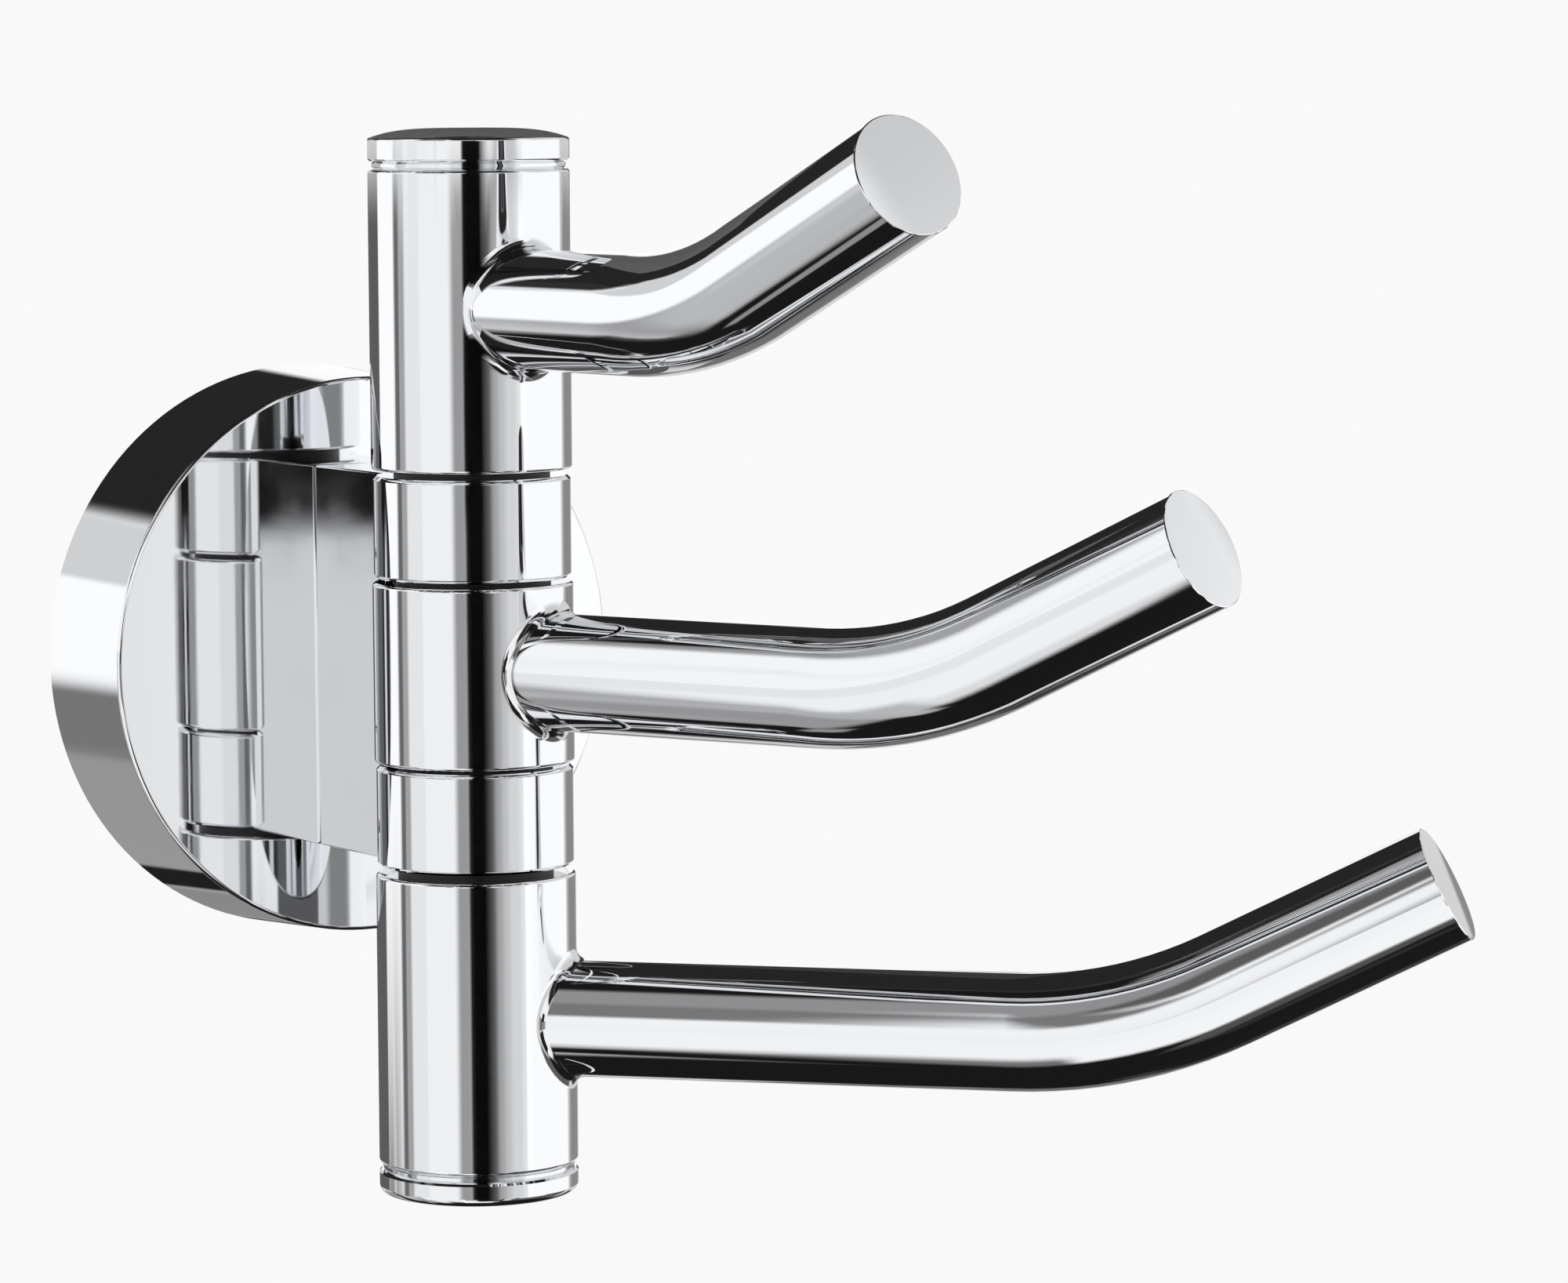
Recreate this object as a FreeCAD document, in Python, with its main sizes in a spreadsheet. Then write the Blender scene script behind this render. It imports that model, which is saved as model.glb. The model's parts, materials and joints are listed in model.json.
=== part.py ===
"""Swivel triple hook: a wall rosette with a hinge bracket and three hooks that swing about one rod.

Millimetres. The wall is the plane y = 0, the room is towards -Y, +X is right and +Z is up.
The origin is the centre of the rosette's wall face. Every size is a cell of the sheet "Dim".
"""
import FreeCAD
import Part
import Sketcher
import math
import os

doc = FreeCAD.newDocument("swivel_triple_hook")
sheet = doc.addObject("Spreadsheet::Sheet", "Dim")

SIZES = [
    # Rosette and wall plate
    ("rosette_depth", "12.5"),
    ("rosette_back_radius", "26.4"),
    ("rosette_face_radius", "25.7"),
    ("rosette_edge_round", "0.4"),
    ("rosette_face_thickness", "3"),
    ("cavity_radius", "23.5"),
    ("cavity_step_radius", "20"),
    ("plate_thickness", "5"),
    ("plate_clearance", "0.1"),
    ("wall_hole_radius", "2.25"),
    ("wall_hole_spacing", "30"),
    ("wall_hole_sink_radius", "4.3"),
    ("lock_screw_radius", "2"),
    ("lock_screw_recess", "0.3"),
    ("lock_dimple_depth", "0.8"),
    ("screw_hole_clearance", "0.2"),
    ("screw_point", "0.5"),
    ("cut_overrun", "1"),
    # Hinge bracket
    ("axis_depth", "32"),
    ("web_width", "10.8"),
    ("web_edge_break", "0.15"),
    ("web_foot_break", "0.35"),
    ("bracket_foot", "-17.3"),
    ("lower_ring_height", "9"),
    ("upper_ring_height", "9.15"),
    ("ring_radius", "8.85"),
    ("ring_round", "0.35"),
    ("sleeve_clearance", "0.35"),
    ("bracket_screw_radius", "2"),
    ("bracket_screw_spacing", "22"),
    ("bracket_screw_grip", "8"),
    ("tapped_hole_spare", "1"),
    ("bracket_screw_head_radius", "3.6"),
    ("bracket_screw_head_height", "2.4"),
    ("socket_radius", "1.45"),
    ("socket_depth", "1.5"),
    ("thread_clearance", "0.05"),
    # Gaps in the column, which the bush flanges fill
    ("upper_gap", "0.55"),
    ("middle_upper_gap", "0.4"),
    ("middle_lower_gap", "0.3"),
    ("lower_gap", "0.7"),
    # Sleeves and caps
    ("column_radius", "9"),
    ("sleeve_round", "0.35"),
    ("upper_sleeve_height", "26.7"),
    ("middle_sleeve_height", "16.2"),
    ("lower_sleeve_height", "26.3"),
    ("bore_radius", "4.5"),
    ("counterbore_radius", "6.6"),
    ("counterbore_depth", "11"),
    ("groove_height", "0.7"),
    ("groove_ring_radius", "8.65"),
    ("groove_ring_break", "0.2"),
    ("cap_height", "2.1"),
    ("cap_spigot_depth", "1.2"),
    ("upper_cap_round", "0.3"),
    ("lower_cap_round", "0.8"),
    # Pivot rod and what clamps the stack
    ("rod_radius", "3"),
    ("running_clearance", "0.05"),
    ("bush_length", "6"),
    ("bush_flange_radius", "7"),
    ("seat_flange_radius", "6.1"),
    ("seat_flange_thickness", "1"),
    ("washer_radius", "5.8"),
    ("washer_thickness", "1"),
    ("spring_height", "1.3"),
    ("spring_thickness", "0.6"),
    ("nut_flats", "10"),
    ("nut_height", "5"),
    ("rod_end", "1"),
    ("rod_end_break", "0.5"),
    # Arms, measured from the column's centre line
    ("arm_radius", "5.3"),
    ("arm_root_round", "1.2"),
    ("arm_end_break", "0.1"),
    ("bend_radius", "42"),
    ("upper_arm_rise", "14.4"),
    ("upper_straight", "24.9"),
    ("upper_bend", "23.8"),
    ("upper_end", "21.8"),
    ("upper_azimuth", "85.2"),
    ("middle_arm_rise", "8.5"),
    ("middle_straight", "36.4"),
    ("middle_bend", "25.8"),
    ("middle_end", "21.5"),
    ("middle_azimuth", "65.5"),
    ("lower_arm_rise", "13.2"),
    ("lower_straight", "49.2"),
    ("lower_bend", "26.7"),
    ("lower_end", "21.7"),
    ("lower_azimuth", "46"),
]

for row, (alias, number) in enumerate(SIZES, start=1):
    sheet.set("A%d" % row, alias)
    sheet.set("B%d" % row, number)
    sheet.setAlias("B%d" % row, alias)
doc.recompute()

# Levels up the column, each as an expression on the sheet
RING_LOW = "Dim.bracket_foot"
RING_LOW_TOP = RING_LOW + " + Dim.lower_ring_height"
MIDDLE_BASE = RING_LOW_TOP + " + Dim.middle_lower_gap"
MIDDLE_TOP = MIDDLE_BASE + " + Dim.middle_sleeve_height"
RING_HIGH = MIDDLE_TOP + " + Dim.middle_upper_gap"
RING_HIGH_TOP = RING_HIGH + " + Dim.upper_ring_height"
UPPER_BASE = RING_HIGH_TOP + " + Dim.upper_gap"
LOWER_TOP = RING_LOW + " - Dim.lower_gap"
STACK = "Dim.seat_flange_thickness + Dim.washer_thickness + Dim.spring_height + Dim.nut_height"
UPPER_FLOOR = UPPER_BASE + " + Dim.upper_sleeve_height - Dim.counterbore_depth"
LOWER_ROOF = LOWER_TOP + " - Dim.lower_sleeve_height + Dim.counterbore_depth"
AXIS_Y = "-Dim.axis_depth"

FULL_TURN = 360.0
HEX_SIDES = 6
TINY = 1e-4
SEAM_TOLERANCE = 0.01
NEARLY_UPRIGHT = 0.9

finished = {}


def value(expression):
    """Return the number that an expression on the sheet comes to."""
    result = sheet.evalExpression(expression)
    return float(getattr(result, "Value", result))


def place(item, x, y, z):
    """Bind an object's position to the sheet."""
    item.setExpression(".Placement.Base.x", x)
    item.setExpression(".Placement.Base.y", y)
    item.setExpression(".Placement.Base.z", z)


def new_body(name, x, y, z):
    """Add a body that is handed in under its name."""
    body = doc.addObject("PartDesign::Body", name)
    body.Label = name
    place(body, x, y, z)
    finished[name] = body
    return body


def new_sketch(body, name, role):
    """Add a sketch on one of the body's own origin planes."""
    sketch = body.newObject("Sketcher::SketchObject", name)
    plane = [item for item in body.Origin.OriginFeatures if item.Role == role][0]
    sketch.AttachmentSupport = [(plane, "")]
    sketch.MapMode = "FlatFace"
    sketch.Visibility = False
    return sketch


def bind(sketch, kind, places, expression):
    """Add a driving dimension to a sketch and bind it to the sheet."""
    number = value(expression)
    if kind == "Angle":
        number = math.radians(number)
        expression = "(" + expression + ") * 1 deg"
    index = sketch.addConstraint(Sketcher.Constraint(kind, *places, number))
    sketch.setExpression("Constraints[%d]" % index, expression)


def polygon(sketch, corners):
    """Draw a closed outline whose corners are all bound to the sheet."""
    points = [FreeCAD.Vector(value(across), value(up), 0) for across, up in corners]
    count = len(points)
    for index in range(count):
        sketch.addGeometry(Part.LineSegment(points[index], points[(index + 1) % count]), False)
    for index in range(count):
        sketch.addConstraint(Sketcher.Constraint("Coincident", index, 2, (index + 1) % count, 1))
    for index, (across, up) in enumerate(corners):
        bind(sketch, "DistanceX", (-1, 1, index, 1), across)
        bind(sketch, "DistanceY", (-1, 1, index, 1), up)


def revolve(body, name, corners, role="XZ_Plane", cut=False):
    """Turn an outline about the sketch's upright axis, as material or as a cut."""
    sketch = new_sketch(body, name + "_section", role)
    polygon(sketch, corners)
    kind = "PartDesign::Groove" if cut else "PartDesign::Revolution"
    feature = body.newObject(kind, name)
    feature.Profile = sketch
    feature.ReferenceAxis = (sketch, ["V_Axis"])
    feature.Angle = FULL_TURN
    return feature


def primitive(body, kind, name, turn=None, **sizes):
    """Add a primitive feature with bound sizes; x, y and z bind where it starts."""
    feature = body.newObject("PartDesign::" + kind, name)
    if turn is not None:
        feature.Placement = FreeCAD.Placement(FreeCAD.Vector(), turn)
    place(feature, sizes.pop("x", "0"), sizes.pop("y", "0"), sizes.pop("z", "0"))
    for size, expression in sizes.items():
        feature.setExpression(size, expression)
    return feature


def dress(body, kind, name, size, chosen):
    """Round or chamfer the edges of the body's tip that the test picks out."""
    doc.recompute()
    base = body.Tip
    names = ["Edge%d" % (i + 1) for i, edge in enumerate(base.Shape.Edges) if chosen(edge)]
    if not names:
        raise RuntimeError(name + ": no edge found")
    feature = body.newObject("PartDesign::" + kind, name)
    feature.Base = (base, names)
    feature.setExpression("Radius" if kind == "Fillet" else "Size", size)
    return feature


def is_circle(edge, radius):
    """Tell whether an edge is an arc or circle of the given radius."""
    return isinstance(edge.Curve, Part.Circle) and abs(edge.Curve.Radius - radius) < TINY


TO_WALL_NORMAL = FreeCAD.Rotation(FreeCAD.Vector(1, 0, 0), 90)


# Rosette: a cast cup with a drafted rim, a flat face and a stepped cavity towards the wall
rosette = new_body("rosette", "0", "0", "0")
cavity_floor = "-Dim.rosette_depth + Dim.rosette_face_thickness"
revolve(rosette, "rosette_cup", [
    ("Dim.cavity_radius", "0"),
    ("Dim.rosette_back_radius", "0"),
    ("Dim.rosette_face_radius", "-Dim.rosette_depth"),
    ("0", "-Dim.rosette_depth"),
    ("0", cavity_floor),
    ("Dim.cavity_step_radius", cavity_floor),
    ("Dim.cavity_step_radius", "-Dim.plate_thickness"),
    ("Dim.cavity_radius", "-Dim.plate_thickness"),
], role="XY_Plane")
face_radius = value("Dim.rosette_face_radius")
dress(rosette, "Fillet", "rosette_rim_round", "Dim.rosette_edge_round",
      lambda edge: is_circle(edge, face_radius))
for side, sign in (("upper", "1"), ("lower", "-1")):
    primitive(rosette, "SubtractiveCylinder", "rosette_screw_hole_" + side, TO_WALL_NORMAL,
              y="0", z=sign + " * Dim.bracket_screw_spacing / 2",
              Radius="Dim.bracket_screw_radius + Dim.screw_hole_clearance",
              Height="Dim.rosette_depth + Dim.cut_overrun")
primitive(rosette, "SubtractiveCylinder", "rosette_lock_hole",
          y="-Dim.plate_thickness / 2", z="-Dim.rosette_back_radius - Dim.cut_overrun",
          Radius="Dim.lock_screw_radius + Dim.thread_clearance",
          Height="Dim.rosette_back_radius - Dim.cavity_radius + 2 * Dim.cut_overrun")

# Wall plate: a flat disc with two countersunk screw holes and a dimple for the lock screw
wall_plate = new_body("wall_plate", "0", "0", "0")
plate_radius = "Dim.cavity_radius - Dim.plate_clearance"
revolve(wall_plate, "plate_disc", [
    ("0", "0"),
    (plate_radius, "0"),
    (plate_radius, "-Dim.plate_thickness"),
    ("0", "-Dim.plate_thickness"),
], role="XY_Plane")
for side, sign in (("left", "-1"), ("right", "1")):
    at = sign + " * Dim.wall_hole_spacing / 2"
    primitive(wall_plate, "SubtractiveCylinder", "wall_hole_" + side, TO_WALL_NORMAL,
              x=at, Radius="Dim.wall_hole_radius", Height="Dim.plate_thickness")
    primitive(wall_plate, "SubtractiveCone", "wall_hole_sink_" + side, TO_WALL_NORMAL,
              x=at, y="-Dim.plate_thickness + Dim.wall_hole_sink_radius - Dim.wall_hole_radius",
              Radius1="Dim.wall_hole_radius", Radius2="Dim.wall_hole_sink_radius",
              Height="Dim.wall_hole_sink_radius - Dim.wall_hole_radius")
primitive(wall_plate, "SubtractiveCylinder", "lock_dimple",
          y="-Dim.plate_thickness / 2", z="-Dim.cavity_radius",
          Radius="Dim.lock_screw_radius + Dim.thread_clearance",
          Height="Dim.plate_clearance + Dim.lock_dimple_depth")

# Lock screw: a headless socket screw through the rim's underside into the plate's dimple
lock_screw_tip = "-Dim.cavity_radius + Dim.plate_clearance + Dim.lock_dimple_depth"
lock_screw_length = lock_screw_tip + " + Dim.rosette_back_radius - Dim.lock_screw_recess"
lock_screw_head = "-(" + lock_screw_length + ")"
lock_screw = new_body("rosette_lock_screw", "0", "-Dim.plate_thickness / 2", lock_screw_tip)
revolve(lock_screw, "lock_screw_shank", [
    ("0", "0"),
    ("Dim.lock_screw_radius - Dim.screw_point", "0"),
    ("Dim.lock_screw_radius", "-Dim.screw_point"),
    ("Dim.lock_screw_radius", lock_screw_head),
    ("0", lock_screw_head),
])
primitive(lock_screw, "SubtractivePrism", "lock_screw_socket", z=lock_screw_head,
          Circumradius="Dim.lock_screw_radius / 2", Height="(" + lock_screw_length + ") / 2")

# Hinge bracket: one casting of an upright web and two knuckle rings round the pivot rod
bracket = new_body("hinge_bracket", "0", AXIS_Y, "0")
web_height = RING_HIGH_TOP + " - (" + RING_LOW + ")"
primitive(bracket, "AdditiveBox", "web", x="-Dim.web_width / 2", z=RING_LOW,
          Length="Dim.web_width", Width="Dim.axis_depth - Dim.rosette_depth", Height=web_height)
primitive(bracket, "SubtractiveCylinder", "middle_sleeve_room", z=RING_LOW_TOP,
          Radius="Dim.column_radius + Dim.sleeve_clearance",
          Height=RING_HIGH + " - (" + RING_LOW_TOP + ")")
foot_y = value("Dim.axis_depth - Dim.rosette_depth")


def web_edges(edge, at_foot):
    """Pick the straight edges round the web's foot, or else the long ones towards the rings."""
    ends = [vertex.Point for vertex in edge.Vertexes]
    if not isinstance(edge.Curve, Part.Line) or len(ends) != 2:
        return False
    if at_foot:
        return min(point.y for point in ends) > foot_y - TINY
    return abs(ends[1].y - ends[0].y) > foot_y / 2


dress(bracket, "Chamfer", "web_foot_edges", "Dim.web_foot_break", lambda edge: web_edges(edge, True))
dress(bracket, "Chamfer", "web_long_edges", "Dim.web_edge_break", lambda edge: web_edges(edge, False))
for side, level, tall in (("lower", RING_LOW, "Dim.lower_ring_height"),
                          ("upper", RING_HIGH, "Dim.upper_ring_height")):
    revolve(bracket, side + "_ring", [
        ("0", level),
        ("Dim.ring_radius - Dim.ring_round", level),
        ("Dim.ring_radius", level + " + Dim.ring_round"),
        ("Dim.ring_radius", level + " + " + tall + " - Dim.ring_round"),
        ("Dim.ring_radius - Dim.ring_round", level + " + " + tall),
        ("0", level + " + " + tall),
    ])
primitive(bracket, "SubtractiveCylinder", "rod_hole", z=RING_LOW,
          Radius="Dim.rod_radius + Dim.running_clearance", Height=web_height)
for side, sign in (("upper", "1"), ("lower", "-1")):
    primitive(bracket, "SubtractiveCylinder", "tapped_hole_" + side, TO_WALL_NORMAL,
              y="Dim.axis_depth - Dim.rosette_depth",
              z=sign + " * Dim.bracket_screw_spacing / 2",
              Radius="Dim.bracket_screw_radius + Dim.thread_clearance",
              Height="Dim.bracket_screw_grip + Dim.tapped_hole_spare")
    screw = new_body("bracket_screw_" + side, "0", cavity_floor,
                     sign + " * Dim.bracket_screw_spacing / 2")
    screw.Placement = FreeCAD.Placement(FreeCAD.Vector(), TO_WALL_NORMAL)
    place(screw, "0", cavity_floor, sign + " * Dim.bracket_screw_spacing / 2")
    reach = "Dim.rosette_face_thickness + Dim.bracket_screw_grip"
    revolve(screw, "bracket_screw_blank_" + side, [
        ("0", "-Dim.bracket_screw_head_height"),
        ("Dim.bracket_screw_head_radius", "-Dim.bracket_screw_head_height"),
        ("Dim.bracket_screw_head_radius", "0"),
        ("Dim.bracket_screw_radius", "0"),
        ("Dim.bracket_screw_radius", reach + " - Dim.screw_point"),
        ("Dim.bracket_screw_radius - Dim.screw_point", reach),
        ("0", reach),
    ])
    primitive(screw, "SubtractivePrism", "bracket_screw_socket_" + side,
              z="-Dim.bracket_screw_head_height",
              Circumradius="Dim.socket_radius", Height="Dim.socket_depth")

# Pivot rod: one plain rod with chamfered ends, through both rings and all three sleeves
rod_low = LOWER_ROOF + " - (" + STACK + ") - Dim.rod_end"
rod_high = UPPER_FLOOR + " + " + STACK + " + Dim.rod_end"
rod = new_body("pivot_rod", "0", AXIS_Y, "0")
revolve(rod, "rod_turning", [
    ("0", rod_low),
    ("Dim.rod_radius - Dim.rod_end_break", rod_low),
    ("Dim.rod_radius", rod_low + " + Dim.rod_end_break"),
    ("Dim.rod_radius", rod_high + " - Dim.rod_end_break"),
    ("Dim.rod_radius - Dim.rod_end_break", rod_high),
    ("0", rod_high),
])


def make_bush(name, level, up, flange_radius, flange_thickness):
    """Make a flanged bush; up is "1" or "-1", the way its barrel points from the flange."""
    body = new_body(name, "0", AXIS_Y, level)
    inner = "Dim.rod_radius + Dim.running_clearance"
    outer = "Dim.bore_radius"
    flange = up + " * (" + flange_thickness + ")"
    end = up + " * (" + flange_thickness + " + Dim.bush_length)"
    revolve(body, name + "_turning", [
        (inner, "0"),
        (flange_radius, "0"),
        (flange_radius, flange),
        (outer, flange),
        (outer, end),
        (inner, end),
    ])


def make_stack(side, level, up):
    """Make the washer, disc spring and nut that clamp one end of the column."""
    inner = "Dim.rod_radius + Dim.thread_clearance"
    washer = new_body(side + "_washer", "0", AXIS_Y, level)
    revolve(washer, side + "_washer_turning", [
        (inner, "0"),
        ("Dim.washer_radius", "0"),
        ("Dim.washer_radius", up + " * Dim.washer_thickness"),
        (inner, up + " * Dim.washer_thickness"),
    ])
    spring = new_body(side + "_disc_spring", "0", AXIS_Y,
                      level + " + " + up + " * Dim.washer_thickness")
    rise = up + " * (Dim.spring_height - Dim.spring_thickness)"
    revolve(spring, side + "_spring_turning", [
        (inner, rise),
        ("Dim.washer_radius", "0"),
        ("Dim.washer_radius", up + " * Dim.spring_thickness"),
        (inner, up + " * Dim.spring_height"),
    ])
    nut = new_body(side + "_nut", "0", AXIS_Y,
                   level + " + " + up + " * (Dim.washer_thickness + Dim.spring_height)")
    start = "0" if up == "1" else "-Dim.nut_height"
    primitive(nut, "AdditivePrism", side + "_nut_hexagon", z=start,
              Circumradius="Dim.nut_flats / sqrt(3)", Height="Dim.nut_height")
    nut.Group[-1].Polygon = HEX_SIDES
    flat = "Dim.nut_flats / 2"
    wide = "Dim.nut_flats"
    drop = up + " * (Dim.nut_height - (" + wide + " - " + flat + ") / 2)"
    revolve(nut, side + "_nut_chamfer", [
        (flat, up + " * Dim.nut_height"),
        (wide, up + " * Dim.nut_height"),
        (wide, drop),
    ], cut=True)
    primitive(nut, "SubtractiveCylinder", side + "_nut_hole", z=start,
              Radius=inner, Height="Dim.nut_height")


def make_cap(side, level, up, edge_round):
    """Make a cap with its spigot, and the bright ring that sits in the groove under it."""
    cap = new_body(side + "_cap", "0", AXIS_Y, level)
    spigot = "Dim.counterbore_radius"
    base = up + " * Dim.groove_height"
    revolve(cap, side + "_cap_turning", [
        ("0", up + " * -Dim.cap_spigot_depth"),
        (spigot, up + " * -Dim.cap_spigot_depth"),
        (spigot, base),
        ("Dim.column_radius - Dim.groove_ring_break", base),
        ("Dim.column_radius", up + " * (Dim.groove_height + Dim.groove_ring_break)"),
        ("Dim.column_radius", up + " * (Dim.groove_height + Dim.cap_height)"),
        ("0", up + " * (Dim.groove_height + Dim.cap_height)"),
    ])
    top = value(up + " * (Dim.groove_height + Dim.cap_height)")
    radius = value("Dim.column_radius")
    dress(cap, "Fillet", side + "_cap_round", edge_round,
          lambda edge: is_circle(edge, radius) and abs(edge.Curve.Center.z - top) < TINY)
    ring = new_body(side + "_groove_ring", "0", AXIS_Y, level)
    revolve(ring, side + "_groove_ring_turning", [
        (spigot, "0"),
        ("Dim.groove_ring_radius - Dim.groove_ring_break", "0"),
        ("Dim.groove_ring_radius", up + " * Dim.groove_ring_break"),
        ("Dim.groove_ring_radius", up + " * (Dim.groove_height - Dim.groove_ring_break)"),
        ("Dim.groove_ring_radius - Dim.groove_ring_break", base),
        (spigot, base),
    ])


def make_hook(side, level, tall, rise, bore):
    """Make one hook: a turned sleeve with a bent round arm growing out of it.

    The body's own +X is the arm's direction, and the body is turned to the azimuth of the photo.
    """
    body = new_body(side + "_hook", "0", AXIS_Y, level)
    body.Placement = FreeCAD.Placement(
        FreeCAD.Vector(), FreeCAD.Rotation(FreeCAD.Vector(0, 0, -1), value("Dim." + side + "_azimuth")))
    place(body, "0", AXIS_Y, level)
    body.setExpression(".Placement.Rotation.Angle", "Dim." + side + "_azimuth * 1 deg")
    revolve(body, side + "_sleeve", [
        ("0", "0"),
        ("Dim.column_radius", "0"),
        ("Dim.column_radius", tall),
        ("0", tall),
    ])
    section = new_sketch(body, side + "_arm_section", "YZ_Plane")
    section.addGeometry(Part.Circle(
        FreeCAD.Vector(0, value(rise), 0), FreeCAD.Vector(0, 0, 1), value("Dim.arm_radius")), False)
    bind(section, "Radius", (0,), "Dim.arm_radius")
    section.addConstraint(Sketcher.Constraint("PointOnObject", 0, 3, -2))
    bind(section, "DistanceY", (-1, 1, 0, 3), rise)

    path = new_sketch(body, side + "_arm_path", "XZ_Plane")
    straight = value("Dim." + side + "_straight")
    bend = math.radians(value("Dim." + side + "_bend"))
    radius = value("Dim.bend_radius")
    height = value(rise)
    centre = FreeCAD.Vector(straight, height + radius, 0)
    bend_end = centre + FreeCAD.Vector(radius * math.sin(bend), -radius * math.cos(bend), 0)
    along = FreeCAD.Vector(math.cos(bend), math.sin(bend), 0)
    tip = bend_end + along * value("Dim." + side + "_end")
    path.addGeometry(Part.LineSegment(
        FreeCAD.Vector(0, height, 0), FreeCAD.Vector(straight, height, 0)), False)
    path.addGeometry(Part.ArcOfCircle(
        Part.Circle(centre, FreeCAD.Vector(0, 0, 1), radius),
        -math.pi / 2, bend - math.pi / 2), False)
    path.addGeometry(Part.LineSegment(bend_end, tip), False)
    path.addConstraint(Sketcher.Constraint("PointOnObject", 0, 1, -2))
    path.addConstraint(Sketcher.Constraint("Horizontal", 0))
    path.addConstraint(Sketcher.Constraint("Tangent", 0, 2, 1, 1))
    path.addConstraint(Sketcher.Constraint("Tangent", 1, 2, 2, 1))
    bind(path, "DistanceY", (-1, 1, 0, 1), rise)
    bind(path, "DistanceX", (0, 1, 0, 2), "Dim." + side + "_straight")
    bind(path, "Radius", (1,), "Dim.bend_radius")
    bind(path, "Angle", (2,), "Dim." + side + "_bend")
    bind(path, "Distance", (2,), "Dim." + side + "_end")

    arm = body.newObject("PartDesign::AdditivePipe", side + "_arm")
    arm.Profile = section
    arm.Spine = (path, ["Edge1", "Edge2", "Edge3"])
    outer = value("Dim.column_radius")
    arm_radius = value("Dim.arm_radius")

    def at_root(edge):
        """Pick the saddle-shaped seam where the arm leaves the sleeve."""
        middle = edge.valueAt((edge.FirstParameter + edge.LastParameter) / 2)
        on_sleeve = abs(math.hypot(middle.x, middle.y) - outer) < SEAM_TOLERANCE
        upright = isinstance(edge.Curve, Part.Line)
        return on_sleeve and not upright and not is_circle(edge, outer)

    dress(body, "Fillet", side + "_arm_root", "Dim.arm_root_round", at_root)
    dress(body, "Fillet", side + "_sleeve_rounds", "Dim.sleeve_round",
          lambda edge: is_circle(edge, outer) and abs(edge.Curve.Axis.z) > NEARLY_UPRIGHT)
    dress(body, "Chamfer", side + "_arm_end", "Dim.arm_end_break",
          lambda edge: is_circle(edge, arm_radius) and edge.Curve.Center.x > straight)
    revolve(body, side + "_bore", bore, cut=True)


tall = "Dim.upper_sleeve_height"
make_hook("upper", UPPER_BASE, tall, "Dim.upper_arm_rise", [
    ("0", "0"),
    ("Dim.bore_radius", "0"),
    ("Dim.bore_radius", tall + " - Dim.counterbore_depth"),
    ("Dim.counterbore_radius", tall + " - Dim.counterbore_depth"),
    ("Dim.counterbore_radius", tall),
    ("0", tall),
])
tall = "Dim.middle_sleeve_height"
make_hook("middle", MIDDLE_BASE, tall, "Dim.middle_arm_rise", [
    ("0", "0"),
    ("Dim.bore_radius", "0"),
    ("Dim.bore_radius", tall),
    ("0", tall),
])
tall = "Dim.lower_sleeve_height"
make_hook("lower", LOWER_TOP + " - " + tall, tall, "Dim.lower_arm_rise", [
    ("0", "0"),
    ("Dim.counterbore_radius", "0"),
    ("Dim.counterbore_radius", "Dim.counterbore_depth"),
    ("Dim.bore_radius", "Dim.counterbore_depth"),
    ("Dim.bore_radius", tall),
    ("0", tall),
])

FLANGE = "Dim.bush_flange_radius"
make_bush("upper_sleeve_lower_bush", RING_HIGH_TOP, "1", FLANGE, "Dim.upper_gap")
make_bush("middle_sleeve_upper_bush", RING_HIGH, "-1", FLANGE, "Dim.middle_upper_gap")
make_bush("middle_sleeve_lower_bush", RING_LOW_TOP, "1", FLANGE, "Dim.middle_lower_gap")
make_bush("lower_sleeve_upper_bush", RING_LOW, "-1", FLANGE, "Dim.lower_gap")
SEAT = "Dim.seat_flange_thickness"
make_bush("upper_sleeve_upper_bush", UPPER_FLOOR + " + " + SEAT, "-1", "Dim.seat_flange_radius", SEAT)
make_bush("lower_sleeve_lower_bush", LOWER_ROOF + " - " + SEAT, "1", "Dim.seat_flange_radius", SEAT)
make_stack("upper", UPPER_FLOOR + " + " + SEAT, "1")
make_stack("lower", LOWER_ROOF + " - " + SEAT, "-1")
make_cap("upper", UPPER_BASE + " + Dim.upper_sleeve_height", "1", "Dim.upper_cap_round")
make_cap("lower", LOWER_TOP + " - Dim.lower_sleeve_height", "-1", "Dim.lower_cap_round")

doc.recompute()

for item in doc.Objects:
    if "Invalid" in item.State or "Error" in item.State:
        raise RuntimeError(item.Name + " has state " + str(item.State))
for name, item in finished.items():
    if item.Shape.isNull() or not item.Shape.isValid():
        raise RuntimeError(name + " has a bad shape")
    if len(item.Shape.Solids) != 1:
        raise RuntimeError(name + " isn't one solid")

os.makedirs("parts", exist_ok=True)
for name, item in finished.items():
    item.Shape.exportStep("parts/" + name + ".step")
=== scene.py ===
"""Swivel triple hook: finishes, fine details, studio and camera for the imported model."""
import json
import logging
import math
from dataclasses import dataclass, field
from enum import Enum

import bpy
import numpy as np
from mathutils import Matrix, Vector


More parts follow.
